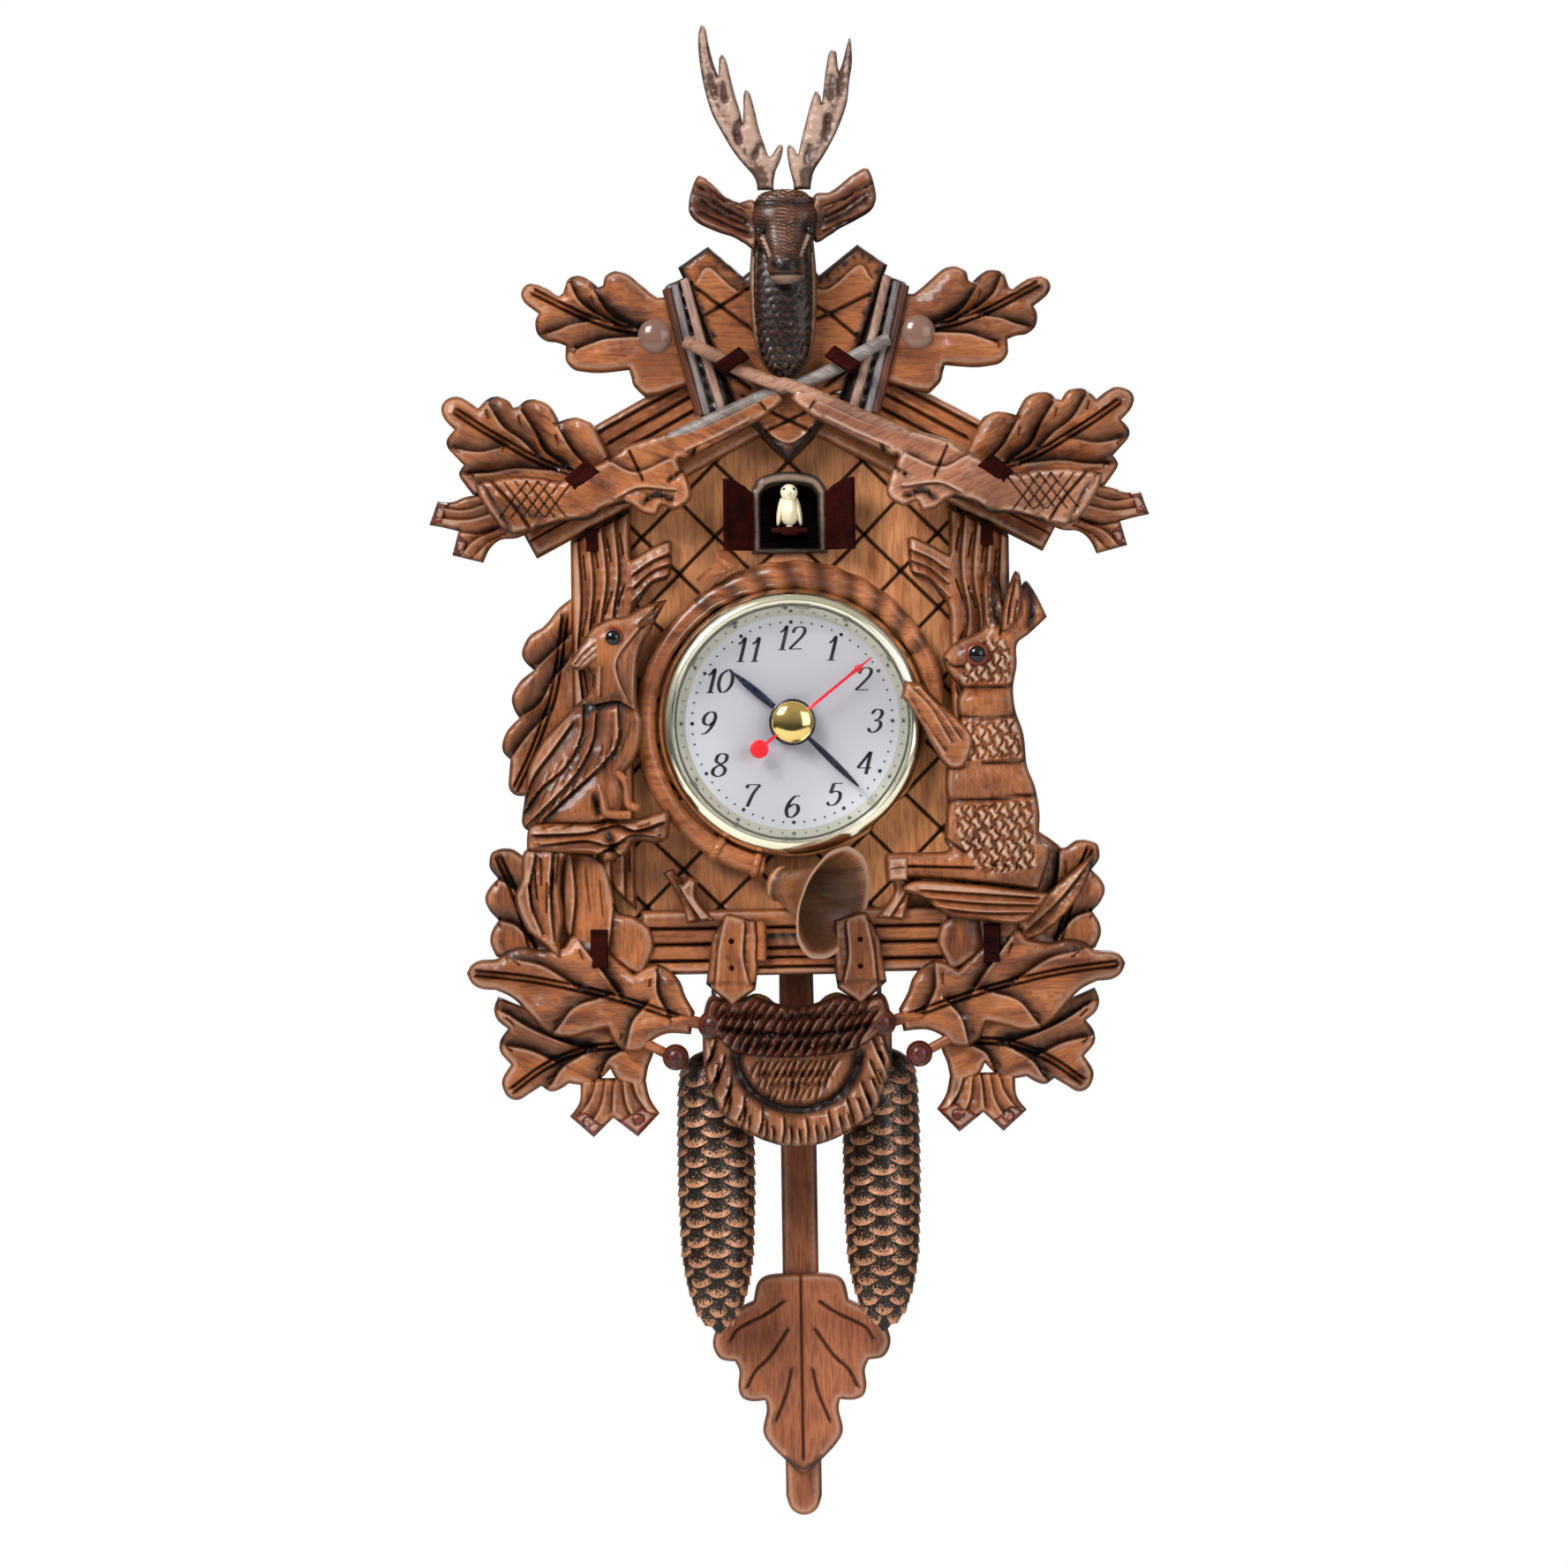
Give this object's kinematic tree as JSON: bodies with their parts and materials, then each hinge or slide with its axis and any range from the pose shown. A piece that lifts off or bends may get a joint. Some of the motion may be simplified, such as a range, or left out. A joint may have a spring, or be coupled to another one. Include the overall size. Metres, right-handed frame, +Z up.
{
  "type": "cuckoo clock",
  "caption": "Carved hunting-style quartz cuckoo clock with a swinging pendulum, an opening bird door, pine cone weights, deer crest, woodpecker, rabbit and horn.",
  "frame": {"origin": "the point on the back where the wall nail carries the clock, in the plane of the wall", "axes": "+X to the right of someone who faces the dial, +Y into the wall, +Z up"},
  "size_m": [0.2278, 0.1004, 0.4753],
  "materials": {
    "panel_wood": "satin stained, light brown",
    "case_wood": "satin stained, red-brown",
    "carved_wood": "satin stained, red-brown, dark in the cuts",
    "deer_wood": "satin, dark brown",
    "antler": "satin, horn coloured",
    "cone_paint": "black with copper-coloured scale edges, satin",
    "plain_wood": "unfinished plywood",
    "door_wood": "satin, dark brown",
    "ivory_plastic": "satin ivory",
    "dial_print": "satin silver-white with printed numerals",
    "hand_paint": "dark navy",
    "black_plastic": "moulded",
    "gear_plastic": "moulded natural acetal",
    "board_green": "solder mask",
    "cell_wrap": "plain wrapped cell, no label",
    "lens": "clear",
    "brass": "polished",
    "steel": "plain"
  },
  "bodies": {
    "case": {"front_panel": "panel_wood", "side_left": "case_wood", "side_right": "case_wood", "roof_left": "case_wood", "roof_right": "case_wood", "bargeboard_left": "case_wood", "bargeboard_right": "case_wood", "bottom_board": "plain_wood", "back_board": "plain_wood", "hanger_plate": "steel", "crest_shield": "carved_wood", "rifle_left": "carved_wood", "rifle_right": "carved_wood", "deer_head": "deer_wood", "antler_left": "antler", "antler_right": "antler", "leaf_upper_left": "carved_wood", "leaf_upper_right": "carved_wood", "leaf_eave_left": "carved_wood", "leaf_eave_right": "carved_wood", "leaf_lower_left": "carved_wood", "leaf_lower_right": "carved_wood", "leaf_side_left": "carved_wood", "trunk_left": "carved_wood", "trunk_right": "carved_wood", "woodpecker": "carved_wood", "rabbit": "carved_wood", "rabbit_ledge": "carved_wood", "hunting_horn": "carved_wood", "lower_beam": "carved_wood", "game_bag": "carved_wood", "bezel": "brass", "dial": "dial_print", "lens": "lens", "movement_case": "black_plastic", "movement_cover": "black_plastic", "battery_cell_inner": "cell_wrap", "battery_cell_outer": "cell_wrap", "circuit_board": "board_green", "door_frame": "door_wood"},
    "minute": {"minute_arbor": "brass", "minute_hand": "hand_paint"},
    "hour": {"hour_wheel": "gear_plastic", "hour_hand": "hand_paint"},
    "minute_wheel": {"minute_wheel": "gear_plastic", "setting_knob": "black_plastic"},
    "second": {"second_wheel": "gear_plastic", "second_hand": "brass"},
    "third_wheel": {"third_wheel": "gear_plastic"},
    "centre_wheel": {"centre_wheel": "gear_plastic"},
    "rotor": {"rotor": "steel"},
    "cuckoo": {"cuckoo_carriage": "door_wood", "cuckoo": "ivory_plastic"},
    "door_left": {"door_left": "door_wood"},
    "door_right": {"door_right": "door_wood"},
    "pendulum": {"pendulum": "carved_wood"},
    "cone_left": {"cone_left": "cone_paint"},
    "cone_right": {"cone_right": "cone_paint"},
    "back_door": {"back_door": "plain_wood", "speaker": "black_plastic"}
  },
  "joints": [
    {"name": "minute_spin", "type": "hinge", "parent": "case", "child": "minute", "pos_m": [0, -0.06, -0.097], "axis": [0, 1, 0], "continuous": true},
    {"name": "hour_spin", "type": "hinge", "parent": "case", "child": "hour", "pos_m": [0, -0.06, -0.097], "axis": [0, 1, 0], "continuous": true},
    {"name": "minute_wheel_spin", "type": "hinge", "parent": "case", "child": "minute_wheel", "pos_m": [0.0056, -0.053, -0.1067], "axis": [0, 1, 0], "continuous": true},
    {"name": "second_spin", "type": "hinge", "parent": "case", "child": "second", "pos_m": [0, -0.05, -0.097], "axis": [0, 1, 0], "continuous": true},
    {"name": "third_wheel_spin", "type": "hinge", "parent": "case", "child": "third_wheel", "pos_m": [0, -0.05, -0.0868], "axis": [0, 1, 0], "continuous": true},
    {"name": "centre_wheel_spin", "type": "hinge", "parent": "case", "child": "centre_wheel", "pos_m": [0, -0.0517, -0.097], "axis": [0, 1, 0], "continuous": true},
    {"name": "rotor_spin", "type": "hinge", "parent": "case", "child": "rotor", "pos_m": [-0.0098, -0.049, -0.097], "axis": [0, 1, 0], "continuous": true},
    {"name": "cuckoo_slide", "type": "slide", "parent": "case", "child": "cuckoo", "axis": [0, 1, 0], "range_m": [0, 0.028]},
    {"name": "door_left_hinge", "type": "hinge", "parent": "case", "child": "door_left", "pos_m": [-0.012, -0.0671, -0.031], "axis": [0, 0, 1], "range_deg": [0, 135]},
    {"name": "door_right_hinge", "type": "hinge", "parent": "case", "child": "door_right", "pos_m": [0.012, -0.0671, -0.031], "axis": [0, 0, 1], "range_deg": [-135, 0]},
    {"name": "pendulum_swing", "type": "hinge", "parent": "case", "child": "pendulum", "pos_m": [0, -0.027, -0.131], "axis": [0, 1, 0], "range_deg": [-12, 12]},
    {"name": "cone_left_swing", "type": "hinge", "parent": "case", "child": "cone_left", "pos_m": [-0.026, -0.0475, -0.18135], "axis": [0, 1, 0], "range_deg": [-6, 6]},
    {"name": "cone_right_swing", "type": "hinge", "parent": "case", "child": "cone_right", "pos_m": [0.026, -0.0475, -0.18135], "axis": [0, 1, 0], "range_deg": [-6, 6]},
    {"name": "back_door_hinge", "type": "hinge", "parent": "case", "child": "back_door", "pos_m": [-0.0567, -0.0002, -0.097], "axis": [0, 0, 1], "range_deg": [0, 110]}
  ],
  "couplings": [
    {"joint": "hour_spin", "follows": "minute_spin", "ratio": 0.083333},
    {"joint": "minute_wheel_spin", "follows": "minute_spin", "ratio": -0.33333},
    {"joint": "third_wheel_spin", "follows": "second_spin", "ratio": -0.125},
    {"joint": "centre_wheel_spin", "follows": "second_spin", "ratio": 0.016667},
    {"joint": "rotor_spin", "follows": "second_spin", "ratio": -6},
    {"joint": "door_left_hinge", "follows": "cuckoo_slide", "rad_per_m": 84.15},
    {"joint": "door_right_hinge", "follows": "cuckoo_slide", "rad_per_m": -84.15}
  ]
}
